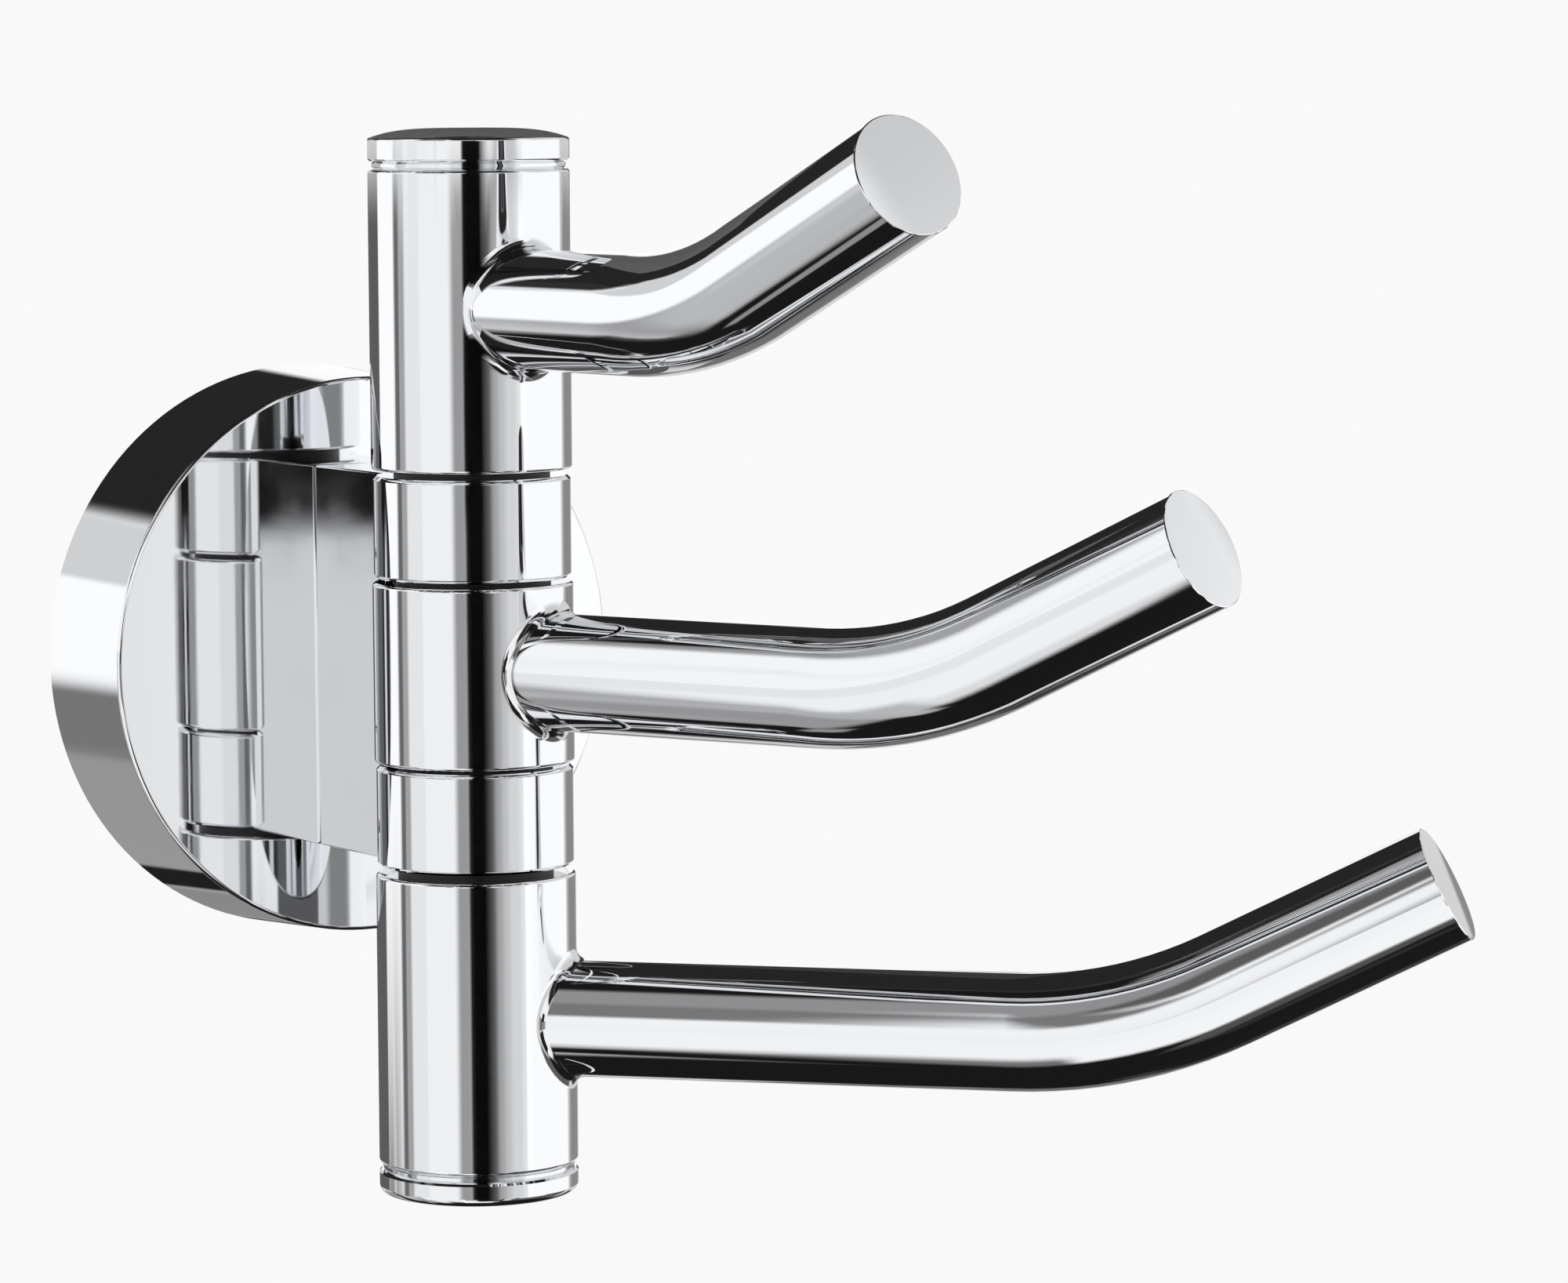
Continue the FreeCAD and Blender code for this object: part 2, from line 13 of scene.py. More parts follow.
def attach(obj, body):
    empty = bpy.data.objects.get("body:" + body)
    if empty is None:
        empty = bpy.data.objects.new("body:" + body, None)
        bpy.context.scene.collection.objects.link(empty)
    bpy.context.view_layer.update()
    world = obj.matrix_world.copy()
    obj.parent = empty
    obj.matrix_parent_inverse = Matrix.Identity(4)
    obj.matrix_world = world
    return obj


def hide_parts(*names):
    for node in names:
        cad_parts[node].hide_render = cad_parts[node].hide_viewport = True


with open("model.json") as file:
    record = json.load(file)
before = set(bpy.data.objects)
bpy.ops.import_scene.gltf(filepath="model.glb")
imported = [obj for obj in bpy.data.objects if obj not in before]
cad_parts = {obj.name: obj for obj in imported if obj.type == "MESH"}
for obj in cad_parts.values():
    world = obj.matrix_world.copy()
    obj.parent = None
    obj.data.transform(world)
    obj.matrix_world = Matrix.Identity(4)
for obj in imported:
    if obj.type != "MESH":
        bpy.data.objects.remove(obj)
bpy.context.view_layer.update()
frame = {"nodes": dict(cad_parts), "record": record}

log = logging.getLogger("swivel_triple_hook")
PHOTO_WIDTH = 2000
MM = 0.001
TINY = 1e-9

RECORD = frame["record"]
BODY_OF = {node: body for body, nodes in RECORD["behaviour"]["bodies"].items() for node in nodes}
SLOT_OF = {part["node"]: part["material_slot"] for part in RECORD["subparts"]}
JOINT_OF = {joint["child"]: joint for joint in RECORD["behaviour"]["joints"]}
AXIS_Y = JOINT_OF["upper_swivel"]["pos_m"][1] / MM

NodeTree = bpy.types.NodeTree
Node = bpy.types.Node
NodeSocket = bpy.types.NodeSocket
Material = bpy.types.Material


def linear(hex_colour: str) -> tuple[float, float, float, float]:
    """Turn an sRGB hex colour into linear values.

    Args:
        hex_colour: six hex digits, such as "C8CACC".

    Returns:
        Linear red, green and blue, and an alpha of 1.
    """
    channels = []
    for start in (0, 2, 4):
        c = int(hex_colour[start:start + 2], 16) / 255
        channels.append(c / 12.92 if c <= 0.04045 else ((c + 0.055) / 1.055) ** 2.4)
    return (channels[0], channels[1], channels[2], 1.0)


def linear_grey(level: float) -> float:
    """Turn an sRGB grey from 0 to 255 into its linear value."""
    return linear(f"{int(level):02X}" * 3)[0]


def add_node(tree: NodeTree, kind: str, settings: dict | None = None, **inputs: object) -> Node:
    """Add a node, set its properties and fill or link its inputs.

    Args:
        tree: the node tree to add to.
        kind: the node's type name.
        settings: properties of the node itself.
        **inputs: socket name or _index, with a value or an output socket to link.

    Returns:
        The new node.
    """
    node = tree.nodes.new(kind)
    for name, setting in (settings or {}).items():
        setattr(node, name, setting)
    for name, given in inputs.items():
        key = int(name[1:]) if name[0] == "_" else name.replace("_", " ")
        socket = node.inputs[key]
        if isinstance(given, NodeSocket):
            tree.links.new(given, socket)
        else:
            socket.default_value = given
    return node


def new_material(name: str) -> tuple[Material, NodeTree, Node]:
    """Make a material that holds only a Principled shader and its output.

    Args:
        name: the material's name.

    Returns:
        The material, its node tree and the shader node.
    """
    material = bpy.data.materials.new(name)
    material.use_nodes = True
    tree = material.node_tree
    tree.nodes.clear()
    shader = add_node(tree, "ShaderNodeBsdfPrincipled")
    add_node(tree, "ShaderNodeOutputMaterial", Surface=shader.outputs[0])
    return material, tree, shader


@dataclass(frozen=True)
class PolishedChrome:
    """Bright chrome plate over polished brass or zinc: a cold near-mirror with faint haze."""

    name: str = "polished_chrome_plate"
    colour: str = "F0F1F3"
    roughness_low: float = 0.018
    roughness_high: float = 0.05
    haze_mm: float = 6.0
    haze_span: tuple[float, float] = (0.35, 0.7)

    def build(self) -> Material:
        """Make the material.

        Returns:
            Chrome whose roughness drifts a little, as hand polishing leaves it.
        """
        # The plate is a thin hard layer on a buffed casting: the eye gets a sharp mirror image
        # with a cold tint, which softens a little where the wheel has dwelt
        material, tree, shader = new_material(self.name)
        place = add_node(tree, "ShaderNodeTexCoord")
        haze = add_node(tree, "ShaderNodeTexNoise", Vector=place.outputs["Object"],
                        Scale=1 / (self.haze_mm * MM), Detail=3.0)
        spread = add_node(tree, "ShaderNodeMapRange", Value=haze.outputs[0],
                          From_Min=self.haze_span[0], From_Max=self.haze_span[1],
                          To_Min=self.roughness_low, To_Max=self.roughness_high)
        tree.links.new(spread.outputs[0], shader.inputs["Roughness"])
        shader.inputs["Base Color"].default_value = linear(self.colour)
        shader.inputs["Metallic"].default_value = 1.0
        return material


@dataclass(frozen=True)
class GrainedMetal:
    """Bare or plated metal inside the fitting: fine grain that breaks up the highlight."""

    name: str
    light: str
    dark: str
    roughness: float
    grain_mm: float
    bump_strength: float = 0.25
    bump_mm: float = 0.02

    def build(self) -> Material:
        """Make the material.

        Returns:
            Metal with two close tones and a bumpy grain of the given size.
        """
        # Zinc keeps the mould's matt skin, plated steel a dull shine and spring steel its blueing:
        # the eye gets a broad highlight that the grain breaks up
        material, tree, shader = new_material(self.name)
        place = add_node(tree, "ShaderNodeTexCoord")
        grain = add_node(tree, "ShaderNodeTexNoise", Vector=place.outputs["Object"],
                         Scale=1 / (self.grain_mm * MM), Detail=4.0)
        tone = add_node(tree, "ShaderNodeMix", {"data_type": "RGBA"}, _0=grain.outputs[0],
                        _6=linear(self.dark), _7=linear(self.light))
        bump = add_node(tree, "ShaderNodeBump", Height=grain.outputs[0],
                        Strength=self.bump_strength, Distance=self.bump_mm * MM)
        tree.links.new(tone.outputs[2], shader.inputs["Base Color"])
        tree.links.new(bump.outputs[0], shader.inputs["Normal"])
        shader.inputs["Metallic"].default_value = 1.0
        shader.inputs["Roughness"].default_value = self.roughness
        return material


@dataclass(frozen=True)
class MouldedNylon:
    """Dark moulded nylon of the bushes: matt, with a faint cloudy tone."""

    name: str = "moulded_nylon"
    light: str = "2A2A2C"
    dark: str = "1B1B1D"
    cloud_mm: float = 1.5
    roughness: float = 0.5

    def build(self) -> Material:
        """Make the material.

        Returns:
            Nylon with two close dark tones in soft clouds.
        """
        # Filled nylon scatters light under its skin: the eye gets a dark line between two mirrors,
        # with no highlight of its own
        material, tree, shader = new_material(self.name)
        place = add_node(tree, "ShaderNodeTexCoord")
        cloud = add_node(tree, "ShaderNodeTexNoise", Vector=place.outputs["Object"],
                         Scale=1 / (self.cloud_mm * MM), Detail=2.0)
        tone = add_node(tree, "ShaderNodeMix", {"data_type": "RGBA"}, _0=cloud.outputs[0],
                        _6=linear(self.dark), _7=linear(self.light))
        tree.links.new(tone.outputs[2], shader.inputs["Base Color"])
        shader.inputs["Roughness"].default_value = self.roughness
        return material


@dataclass(frozen=True)
class BlackNet:
    """Black net of the studio, whose sides thin out so that its mirror image has soft edges.

    Its edges are where it starts, is full, starts to thin and ends, in mm from left to right.
    """

    edges: tuple[float, float, float, float]
    name: str = "black_net_with_soft_edges"
    colour: str = "101011"

    def build(self) -> Material:
        """Make the material.

        Returns:
            Matt black that fades in and out across X, at the edges given in mm.
        """
        left, full_left, full_right, far_right = self.edges
        material, tree, shader = new_material(self.name)
        shader.inputs["Base Color"].default_value = linear(self.colour)
        shader.inputs["Roughness"].default_value = 1.0
        place = add_node(tree, "ShaderNodeTexCoord")
        split = add_node(tree, "ShaderNodeSeparateXYZ", Vector=place.outputs["Object"])
        soft = {"interpolation_type": "SMOOTHSTEP"}
        start = add_node(tree, "ShaderNodeMapRange", soft, Value=split.outputs[0],
                         From_Min=left * MM, From_Max=full_left * MM)
        stop = add_node(tree, "ShaderNodeMapRange", soft, Value=split.outputs[0],
                        From_Min=far_right * MM, From_Max=full_right * MM)
        both = add_node(tree, "ShaderNodeMath", {"operation": "MULTIPLY"}, _0=start.outputs[0],
                        _1=stop.outputs[0])
        tree.links.new(both.outputs[0], shader.inputs["Alpha"])
        return material


@dataclass(frozen=True)
class GreyFelt:
    """Grey felt of the studio, which darkens just above its foot."""

    name: str = "grey_felt"
    foot: str = "9C9C9C"
    top: str = "626262"
    fade_mm: tuple[float, float] = (0.4, 1.4)

    def build(self) -> Material:
        """Make the material.

        Returns:
            Matt grey that goes from the foot's tone to the top's across Y.
        """
        material, tree, shader = new_material(self.name)
        place = add_node(tree, "ShaderNodeTexCoord")
        split = add_node(tree, "ShaderNodeSeparateXYZ", Vector=place.outputs["Object"])
        rise = add_node(tree, "ShaderNodeMapRange", Value=split.outputs[1],
                        From_Min=self.fade_mm[0] * MM, From_Max=self.fade_mm[1] * MM)
        tone = add_node(tree, "ShaderNodeMix", {"data_type": "RGBA"}, _0=rise.outputs[0],
                        _6=linear(self.foot), _7=linear(self.top))
        tree.links.new(tone.outputs[2], shader.inputs["Base Color"])
        shader.inputs["Roughness"].default_value = 1.0
        return material


class Finish(Enum):
    """The finishes on the fitting's pieces."""

    CHROME = PolishedChrome()
    ZINC = GrainedMetal("die_cast_zinc", light="A9ABAD", dark="8E9092", roughness=0.42, grain_mm=0.8)
    STEEL = GrainedMetal("zinc_plated_steel", light="BFC1C4", dark="A3A5A9", roughness=0.28,
                         grain_mm=0.5)
    SPRING = GrainedMetal("blued_spring_steel", light="4B4F58", dark="3A3D45", roughness=0.3,
                          grain_mm=0.6)
    NYLON = MouldedNylon()


FINISH_OF_SLOT = {
    "chrome": Finish.CHROME,
    "chrome_hook": Finish.CHROME,
    "chrome_cap": Finish.CHROME,
    "zinc": Finish.ZINC,
    "steel": Finish.STEEL,
    "spring": Finish.SPRING,
    "nylon": Finish.NYLON,
}


@dataclass
class Wardrobe:
    """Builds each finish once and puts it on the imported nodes."""

    made: dict[Finish, Material] = field(default_factory=dict)

    def get(self, finish: Finish) -> Material:
        """Return a finish's material, building it on first use."""
        if finish not in self.made:
            self.made[finish] = finish.value.build()
        return self.made[finish]

    def dress_nodes(self) -> None:
        """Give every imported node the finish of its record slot."""
        for name, node in frame["nodes"].items():
            material = self.get(FINISH_OF_SLOT[SLOT_OF[name]])
            for slot in node.material_slots:
                slot.material = material
            log.info("%s: %s", name, material.name)


def unit_rows(rows: np.ndarray) -> tuple[np.ndarray, np.ndarray]:
    """Return how long each row is, and the rows at length 1."""
    length = np.linalg.norm(rows, axis=1)
    return length, rows / np.maximum(length, TINY)[:, None]


def from_column(points: np.ndarray, level: float = 0.0) -> tuple[np.ndarray, np.ndarray, np.ndarray]:
    """Measure points from the column's centre line.

    Args:
        points: places in mm, one row each.
        level: the height that counts as 0.

    Returns:
        How far each point is from the line, the level way out to it, and its height.
    """
    out = points - (0, AXIS_Y, level)
    height = out[:, 2].copy()
    out[:, 2] = 0
    return *unit_rows(out), height


class Form:
    """A true surface of the fitting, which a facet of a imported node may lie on."""

    def read(self, points: np.ndarray) -> tuple[np.ndarray, np.ndarray]:
        """Measure points against the surface.

        Args:
            points: places in mm, one row each.

        Returns:
            How far each point is off the surface, and the surface's outward normals there.
        """
        raise NotImplementedError


@dataclass(frozen=True)
class ColumnWall(Form):
    """A turned wall about the column's centre line."""

    radius: float

    def read(self, points: np.ndarray) -> tuple[np.ndarray, np.ndarray]:
        """Measure points against the wall.

        Args:
            points: places in mm, one row each.

        Returns:
            How far each point is off the wall, and the wall's outward normals there.
        """
        reach, away, _ = from_column(points)
        return np.abs(reach - self.radius), away


@dataclass(frozen=True)
class TurnedRound(Form):
    """The small round at a turned edge: a ring of the given round radius about a centre line."""

    reach: float
    level: float
    round_radius: float
    centre: tuple[float, float, float] = (0.0, AXIS_Y, 0.0)
    axis: tuple[float, float, float] = (0.0, 0.0, 1.0)

    def read(self, points: np.ndarray) -> tuple[np.ndarray, np.ndarray]:
        """Measure points against the round.

        Args:
            points: places in mm, one row each.

        Returns:
            How far each point is off the round, and the round's outward normals there.
        """
        axis = np.array(self.axis)
        local = points - self.centre
        height = local @ axis
        far, away = unit_rows(local - height[:, None] * axis)
        size, normals = unit_rows((far - self.reach)[:, None] * away
                                  + (height - self.level)[:, None] * axis)
        return np.abs(size - self.round_radius), normals


@dataclass(frozen=True)
class TurnedBevel(Form):
    """A 45 degree bevel round the column that starts on a wall and leans inwards, up or down."""

    wall_radius: float
    level: float
    up: int

    def read(self, points: np.ndarray) -> tuple[np.ndarray, np.ndarray]:
        """Measure points against the bevel.

        Args:
            points: places in mm, one row each.

        Returns:
            How far each point is off the bevel, and the bevel's outward normals there.
        """
        reach, away, height = from_column(points, self.level)
        gaps = np.abs(reach - self.wall_radius + self.up * height) / math.sqrt(2)
        return gaps, (away + (0, 0, self.up)) / math.sqrt(2)


@dataclass(frozen=True)
class DraftedRim(Form):
    """The rosette's rim, a shallow cone that narrows towards the room."""

    back_radius: float = 26.4
    face_radius: float = 25.7
    depth: float = 12.5

    def read(self, points: np.ndarray) -> tuple[np.ndarray, np.ndarray]:
        """Measure points against the rim.

        Args:
            points: places in mm, one row each.

        Returns:
            How far each point is off the rim, and the rim's outward normals there.
        """
        reach, away = unit_rows(points * (1, 0, 1))
        fall = (self.back_radius - self.face_radius) / self.depth
        gaps = np.abs(reach - self.back_radius - fall * points[:, 1])
        return gaps, unit_rows(away - (0, fall, 0))[1]


@dataclass(frozen=True)
class Arm(Form):
    """A hook's arm: a round bar that runs out from the column and bends upwards."""

    straight: float
    bend_deg: float
    azimuth_deg: float
    level: float
    radius: float = 5.3
    bend_radius: float = 42.0

    @classmethod
    def of_body(cls, body: str, straight: float, bend_deg: float) -> "Arm":
        """Make the arm of a swinging body, with its level and direction from the body's joint.

        The joint's upper limit lays the arm along the wall on the right, so the arm now stands
        that far away from the wall.

        Args:
            body: the body's name.
            straight: from the column's centre line to the bend, in mm.
            bend_deg: how far the arm bends upwards.

        Returns:
            The arm.
        """
        joint = JOINT_OF[body]
        return cls(straight, bend_deg, joint["range_deg"][1], joint["pos_m"][2] / MM)

    def start(self) -> np.ndarray:
        """Return where the arm's centre line meets the column's."""
        return np.array((0.0, AXIS_Y, self.level))

    def out(self) -> np.ndarray:
        """Return the level direction in which the arm leaves the column."""
        azimuth = math.radians(-self.azimuth_deg)
        return np.array((math.cos(azimuth), math.sin(azimuth), 0))

    def end_way(self) -> np.ndarray:
        """Return the direction of the arm's bent end, which its end face looks along."""
        bend = math.radians(self.bend_deg)
        return self.out() * math.cos(bend) + (0, 0, math.sin(bend))

    def read(self, points: np.ndarray) -> tuple[np.ndarray, np.ndarray]:
        """Measure points against the bar.

        Args:
            points: places in mm, one row each.

        Returns:
            How far each point is off the bar, and the bar's outward normals there.
        """
        away = self.out()
        local = points - self.start()
        along = local @ away
        bend = math.radians(self.bend_deg)
        turn = np.arctan2(along - self.straight, self.bend_radius - local[:, 2])
        turn = np.clip(turn, 0, bend)
        path_along = np.where(turn > 0, self.straight + self.bend_radius * np.sin(turn), along)
        path_up = np.where(turn > 0, self.bend_radius * (1 - np.cos(turn)), 0)
        past = turn >= bend
        run = (along - path_along) * math.cos(bend) + (local[:, 2] - path_up) * math.sin(bend)
        path_along = path_along + np.where(past, run * math.cos(bend), 0)
        path_up = path_up + np.where(past, run * math.sin(bend), 0)
        reach, normals = unit_rows(local - path_along[:, None] * away - path_up[:, None] * (0, 0, 1))
        return np.abs(reach - self.radius), normals


@dataclass(frozen=True)
class PolishedEnd(Form):
    """An arm's end face: flat to the eye, but polishing has left it very slightly domed."""

    arm: Arm
    length: float
    dome_deg: float = 3.0

    def read(self, points: np.ndarray) -> tuple[np.ndarray, np.ndarray]:
        """Measure points against the end face.

        Args:
            points: places in mm, one row each.

        Returns:
            How far each point is off the end face, and the end face's outward normals there.
        """
        arm, bend = self.arm, math.radians(self.arm.bend_deg)
        way = arm.end_way()
        along = arm.straight + arm.bend_radius * math.sin(bend) + self.length * math.cos(bend)
        rise = arm.bend_radius * (1 - math.cos(bend)) + self.length * math.sin(bend)
        local = points - (arm.start() + along * arm.out() + (0, 0, rise))
        height = local @ way
        out = local - height[:, None] * way
        normals = way + out * math.radians(self.dome_deg) / arm.radius
        return np.abs(height), unit_rows(normals)[1]


@dataclass(frozen=True)
class RootSaddle(Form):
    """The hollow round where an arm grows out of its sleeve, as a rolling ball leaves it."""

    arm: Arm
    column_radius: float = 9.0
    round_radius: float = 1.2
    steps: int = 1440
    batch: int = 500

    def balls(self) -> np.ndarray:
        """Return the rolling ball's centres, once round the root."""
        turn = np.linspace(0, 2 * math.pi, self.steps, endpoint=False)
        reach = self.arm.radius + self.round_radius
        side = reach * np.sin(turn)
        out = np.sqrt((self.column_radius + self.round_radius) ** 2 - side ** 2)
        away = self.arm.out()
        across = np.array((-away[1], away[0], 0))
        return (self.arm.start() + out[:, None] * away + side[:, None] * across
                + (reach * np.cos(turn))[:, None] * (0, 0, 1))

    def read(self, points: np.ndarray) -> tuple[np.ndarray, np.ndarray]:
        """Measure points against the round.

        Args:
            points: places in mm, one row each.

        Returns:
            How far each point is off the round, and the round's outward normals there.
        """
        balls = self.balls()
        gaps = np.empty(len(points))
        normals = np.empty((len(points), 3))
        for start in range(0, len(points), self.batch):
            part = points[start:start + self.batch]
            space = np.linalg.norm(part[:, None] - balls, axis=2)
            near = space.argmin(axis=1)
            normals[start:start + self.batch] = balls[near] - part
            gaps[start:start + self.batch] = np.abs(space[np.arange(len(part)), near]
                                                    - self.round_radius)
        return gaps, unit_rows(normals)[1]


@dataclass(frozen=True)
class Crown(Form):
    """The shallow dome of the top cap."""

    radius: float
    rise: float
    level: float

    def height(self, reach: float | np.ndarray) -> float | np.ndarray:
        """Return the dome's height above its foot at a distance from its centre."""
        return self.rise * (1 - (reach / self.radius) ** 4)

    def read(self, points: np.ndarray) -> tuple[np.ndarray, np.ndarray]:
        """Measure points against the dome.

        Args:
            points: places in mm, one row each.

        Returns:
            How far each point is off the dome, and the dome's outward normals there.
        """
        reach, away, above = from_column(points, self.level)
        fall = 4 * self.rise * reach ** 3 / self.radius ** 4
        normals = away * fall[:, None] + (0, 0, 1)
        return np.abs(above - self.height(reach)), unit_rows(normals)[1]


@dataclass(frozen=True)
class Flat(Form):
    """A flat face that looks one way."""

    way: tuple[float, float, float]

    def read(self, points: np.ndarray) -> tuple[np.ndarray, np.ndarray]:
        """Return the face's one normal; any height counts as on the face."""
        return np.zeros(len(points)), np.tile(np.array(self.way), (len(points), 1))


SQUARE_WAYS = tuple(Flat(way) for way in ((1, 0, 0), (-1, 0, 0), (0, 1, 0), (0, -1, 0),
                                          (0, 0, 1), (0, 0, -1)))
LEAST_MATCH = 0.93
FLAT_MATCH = 0.99999


def read_mesh(mesh: bpy.types.Mesh) -> tuple[np.ndarray, np.ndarray, np.ndarray, np.ndarray]:
    """Read a mesh into arrays.

    Args:
        mesh: a mesh, all triangles.

    Returns:
        The vertices' places in mm, each face's vertex numbers, and the normals of the faces and
        of their corners.
    """
    places = np.empty(len(mesh.vertices) * 3)
    mesh.vertices.foreach_get("co", places)
    corners = np.empty(len(mesh.loops), dtype=np.int64)
    mesh.loops.foreach_get("vertex_index", corners)
    facing = np.empty(len(corners))
    mesh.polygons.foreach_get("normal", facing)
    smooth = np.empty(len(corners) * 3)
    mesh.corner_normals.foreach_get("vector", smooth)
    return (places.reshape(-1, 3) / MM, corners.reshape(-1, 3), facing.reshape(-1, 3),
            smooth.reshape(-1, 3, 3))


def teach_normals(mesh: bpy.types.Mesh, forms: tuple[Form, ...], crease_deg: float,
                  on_form_mm: float) -> int:
    """Give each face corner the normal of the form that its face lies on.

    A face on no form borrows from its neighbours' corners where they agree with it.

    Args:
        mesh: a merged mesh, all triangles.
        forms: the true surfaces.
        crease_deg: faces that turn more than this from a known normal don't take it.
        on_form_mm: how near a face's corners must be to a form.

    Returns:
        How many faces lie on a form.
    """
    places, faces, facing, normals = read_mesh(mesh)
    best = np.full(len(faces), LEAST_MATCH)
    known = np.zeros(len(faces), dtype=bool)
    for form in forms + SQUARE_WAYS:
        gaps, ways = form.read(places)
        match = np.einsum("fij,fj->fi", ways[faces], facing).min(axis=1)
        fits = (gaps[faces].max(axis=1) < on_form_mm) & (match > best)
        if isinstance(form, Flat):
            fits &= match > FLAT_MATCH
        normals[fits] = ways[faces][fits]
        best[fits] = match[fits]
        known |= fits
    taught: dict[int, list[np.ndarray]] = {}
    for face in np.flatnonzero(known):
        for corner in range(3):
            taught.setdefault(int(faces[face, corner]), []).append(normals[face, corner])
    limit = math.cos(math.radians(crease_deg))
    for face in np.flatnonzero(~known):
        for corner in range(3):
            near = [way for way in taught.get(int(faces[face, corner]), [])
                    if way @ facing[face] > limit]
            if near:
                normals[face, corner] = max(near, key=lambda way: way @ facing[face])
    mesh.normals_split_custom_set(normals.reshape(-1, 3).tolist())
    return int(known.sum())


@dataclass
class PolishedSkin:
    """A packed chrome piece whose facets shade as the true surfaces that they stand for.

    Polished metal shows every facet, so each corner takes the normal of the turned wall, bar, round
    or flat that it lies on.
    """

    node: str
    finish: Finish
    forms: tuple[Form, ...]
    crease_deg: float = 35.0
    merge_mm: float = 0.0015
    on_form_mm: float = 0.012

    def build(self, wardrobe: Wardrobe) -> bpy.types.Object:
        """Merge a copy of the node, give it true normals, dress it and put it in the node's place.

        Args:
            wardrobe: where the finish comes from.

        Returns:
            The new piece.
        """
        source = frame["nodes"][self.node]
        mesh = source.data.copy()
        piece = bpy.data.objects.new(self.node + "_polished", mesh)
        bpy.context.collection.objects.link(piece)
        bpy.ops.object.select_all(action="DESELECT")
        piece.select_set(True)
        bpy.context.view_layer.objects.active = piece
        bpy.ops.object.mode_set(mode="EDIT")
        bpy.ops.mesh.select_all(action="SELECT")
        bpy.ops.mesh.remove_doubles(threshold=self.merge_mm * MM)
        bpy.ops.object.mode_set(mode="OBJECT")
        bpy.ops.object.shade_smooth_by_angle(angle=math.radians(self.crease_deg))
        count = teach_normals(mesh, self.forms, self.crease_deg, self.on_form_mm)
        log.info("%s: %d faces, %d on true forms", self.node, len(mesh.polygons), count)
        mesh.materials.clear()
        mesh.materials.append(wardrobe.get(self.finish))
        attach(piece, BODY_OF[self.node])
        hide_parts(self.node)
        return piece


@dataclass
class WallSide:
    """The rosette and the hinge bracket, which stay still.

    The ring spans are the undersides and tops of the bracket's two rings, in mm.
    """

    ring_radius: float = 8.85
    ring_bevel: float = 0.35
    ring_spans: tuple[tuple[float, float], ...] = ((-17.3, -8.3), (8.6, 17.75))
    rim_round: TurnedRound = TurnedRound(reach=25.32, level=12.1, round_radius=0.4,
                                         centre=(0.0, 0.0, 0.0), axis=(0.0, -1.0, 0.0))

    def build(self, wardrobe: Wardrobe) -> None:
        """Dress both castings.

        Args:
            wardrobe: where the finish comes from.
        """
        PolishedSkin("rosette", Finish.CHROME, (DraftedRim(), self.rim_round)).build(wardrobe)
        forms = [ColumnWall(self.ring_radius)]
        for low, high in self.ring_spans:
            forms.append(TurnedBevel(self.ring_radius, high - self.ring_bevel, 1))
            forms.append(TurnedBevel(self.ring_radius, low + self.ring_bevel, -1))
        PolishedSkin("hinge_bracket", Finish.CHROME, tuple(forms)).build(wardrobe)


@dataclass
class Swivel:
    """One hook and, at the column's ends, its cap and the ring in the groove beside it.

    The cap is on top where up is 1, underneath where it is -1, and there is none where it is 0.
    """

    hook: str
    arm: Arm
    end_length: float
    sleeve: tuple[float, float]
    up: int = 0
    cap_round: float = 0.0
    column_radius: float = 9.0
    sleeve_round: float = 0.35
    groove_radius: float = 8.65
    groove_height: float = 0.7
    groove_break: float = 0.2
    cap_height: float = 2.1

    def build(self, wardrobe: Wardrobe) -> None:
        """Dress the hook, and the cap and its ring where the hook has them.

        Args:
            wardrobe: where the finish comes from.
        """
        wall = ColumnWall(self.column_radius)
        inner = self.column_radius - self.sleeve_round
        low, high = self.sleeve
        forms = (wall, self.arm, RootSaddle(self.arm), PolishedEnd(self.arm, self.end_length),
                 TurnedRound(inner, low + self.sleeve_round, self.sleeve_round),
                 TurnedRound(inner, high - self.sleeve_round, self.sleeve_round))
        PolishedSkin(self.hook, Finish.CHROME, forms).build(wardrobe)
        if not self.up:
            return
        side = self.hook.split("_")[0]
        start = high if self.up > 0 else low
        base = start + self.up * self.groove_height
        end = base + self.up * self.cap_height
        forms = (wall, TurnedBevel(self.column_radius, base + self.up * self.groove_break, -self.up),
                 TurnedRound(self.column_radius - self.cap_round, end - self.up * self.cap_round,
                             self.cap_round))
        PolishedSkin(side + "_cap", Finish.CHROME, forms).build(wardrobe)
        forms = (ColumnWall(self.groove_radius),
                 TurnedBevel(self.groove_radius, start + self.up * self.groove_break, -self.up),
                 TurnedBevel(self.groove_radius, base - self.up * self.groove_break, self.up))
        PolishedSkin(side + "_groove_ring", Finish.CHROME, forms).build(wardrobe)


